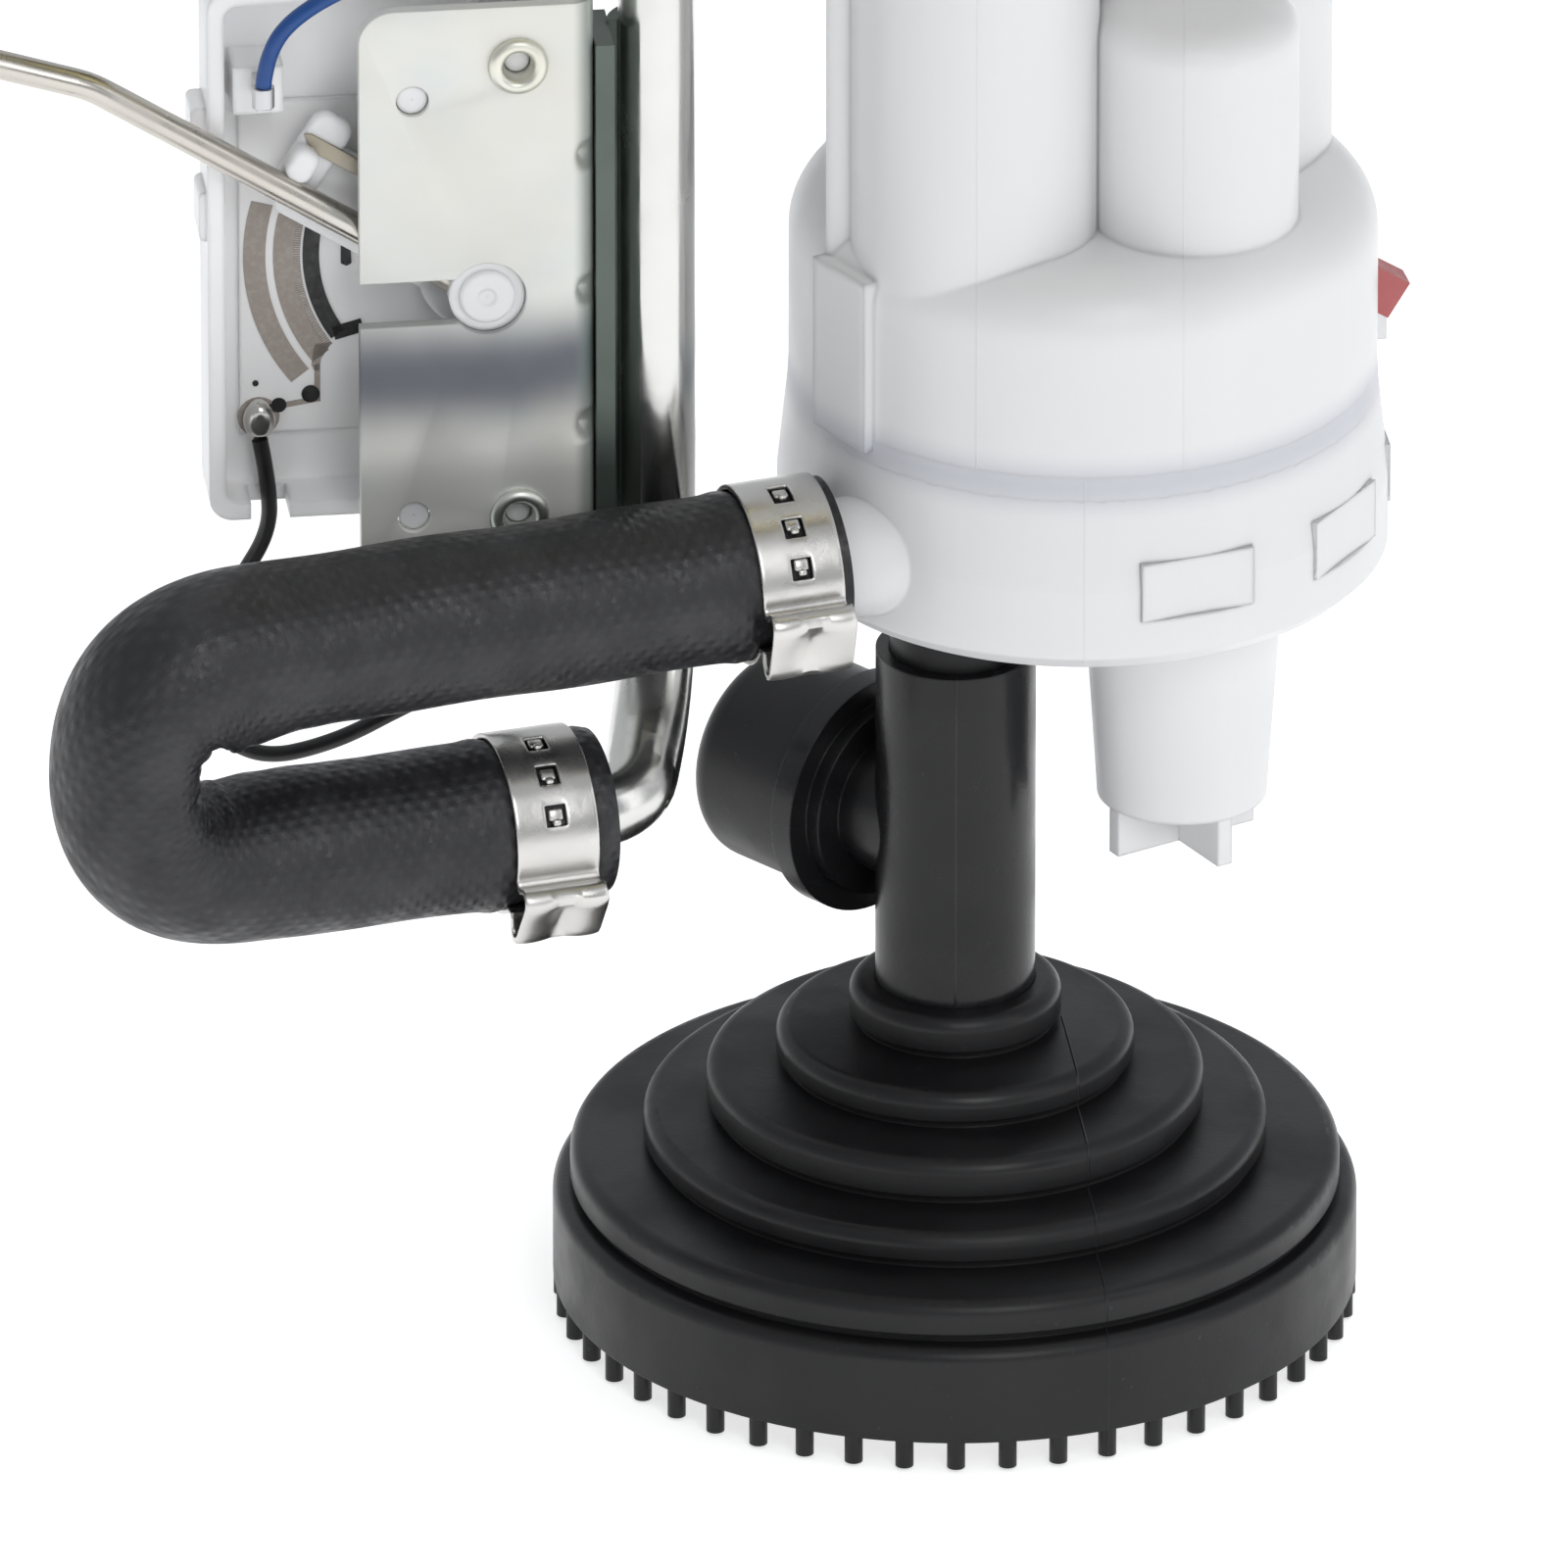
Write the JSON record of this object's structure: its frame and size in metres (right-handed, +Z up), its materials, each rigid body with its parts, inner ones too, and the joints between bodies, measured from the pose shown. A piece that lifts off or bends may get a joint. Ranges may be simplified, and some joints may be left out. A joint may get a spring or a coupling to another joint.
{
  "type": "in-tank fuel pump and level sender module",
  "caption": "In-tank vehicle fuel module: flanged top, bent return tube with moulded hose, float-arm level sender, white pump reservoir, black pick-up stem and stepped foot.",
  "frame": {"origin": "centre of the gasket face that seals on the tank opening", "axes": "+Z up out of the tank, through the flange; -Y is the side that shows the sender, so its bracket and the hose face it; +X to the right from that side"},
  "size_m": [0.2514, 0.13, 0.2664],
  "materials": {
    "zinc_plate": "zinc plated with a pale yellow passivate",
    "bright_steel": "polished tube",
    "rod_steel": "drawn wire",
    "stainless": "brushed stainless",
    "tinned": "tinned contact metal",
    "white_acetal": "natural white moulded plastic",
    "white_clear": "translucent white plastic",
    "black_plastic": "satin black moulding",
    "black_rubber": "charcoal rubber",
    "seal_rubber": "smooth black rubber",
    "float_foam": "closed-cell foam",
    "ceramic": "ceramic card",
    "track_ink": "printed silver-palladium track",
    "contact_metal": "dull contact leaf",
    "solder": "solder",
    "blue_insulation": "wire insulation",
    "black_insulation": "wire insulation",
    "red_plastic": "terminal boot",
    "yellow_steel": "yellow-passivated stamped steel",
    "magnet": "sintered ferrite",
    "copper_iron": "laminations and windings",
    "carbon": "carbon brush",
    "mesh_nylon": "woven strainer"
  },
  "bodies": {
    "module": {"black_wire": "black_insulation", "blue_wire": "blue_insulation", "bottom_cover": "white_acetal", "connector_body": "black_plastic", "connector_pins": "tinned", "drum_cap": "black_plastic", "eyelet_rivets": "zinc_plate", "flange_gasket": "seal_rubber", "ground_terminal": "tinned", "hanger_screws": "zinc_plate", "hanger_strap": "zinc_plate", "inlet_diaphragm": "seal_rubber", "inlet_neck": "black_plastic", "lower_hose_clamp": "stainless", "mounting_flange": "yellow_steel", "outlet_seal": "seal_rubber", "pickup_foot": "black_plastic", "pickup_stem": "black_plastic", "pump_brushes": "carbon", "pump_case": "bright_steel", "pump_housing": "white_acetal", "pump_inlet_cover": "tinned", "pump_isolator": "seal_rubber", "pump_magnets": "magnet", "pump_outlet_cover": "black_plastic", "resistor_card": "ceramic", "resistor_tracks": "track_ink", "return_hose": "black_rubber", "return_tube": "bright_steel", "sender_bracket": "zinc_plate", "sender_frame": "white_acetal", "signal_terminal": "tinned", "solder_joint": "solder", "strainer_disc": "mesh_nylon", "supply_sleeve": "black_rubber", "supply_terminal": "tinned", "supply_tube": "bright_steel", "terminal_boot": "red_plastic", "tower_cap": "white_acetal", "tube_saddle": "zinc_plate", "upper_hose_clamp": "stainless", "valve_retainer": "white_acetal", "valve_spring": "stainless"},
    "float_arm_body": {"float_arm": "rod_steel", "arm_hub": "white_acetal", "wiper_carrier": "white_clear", "wiper_contact": "contact_metal", "float_retainers": "stainless"},
    "float_body": {"float": "float_foam"},
    "rotor": {"pump_armature": "copper_iron", "pump_impeller": "black_plastic"},
    "spool": {"shuttle_valve": "white_acetal"},
    "check": {"outlet_check": "white_acetal"}
  },
  "joints": [
    {"name": "arm_swing", "type": "hinge", "parent": "module", "child": "float_arm_body", "pos_m": [-0.0406, -0.0143, -0.1035], "axis": [0.1219, -0.9925, 0], "range_deg": [0, 66]},
    {"name": "float_spin", "type": "hinge", "parent": "float_arm_body", "child": "float_body", "pos_m": [-0.16784, -0.02992, -0.05098], "axis": [0.1219, -0.9925, 0], "continuous": true},
    {"name": "rotor_spin", "type": "hinge", "parent": "module", "child": "rotor", "pos_m": [0.0278, 0.0156, -0.09], "axis": [0, 0, 1], "continuous": true},
    {"name": "valve_slide", "type": "slide", "parent": "module", "child": "spool", "axis": [0, 0, 1], "range_m": [0, 0.006], "stiffness_N_per_m": 60, "springref_m": -0.004, "deforming": ["valve_spring"]},
    {"name": "check_lift", "type": "slide", "parent": "module", "child": "check", "axis": [0, 0, 1], "range_m": [0, 0.001]}
  ]
}
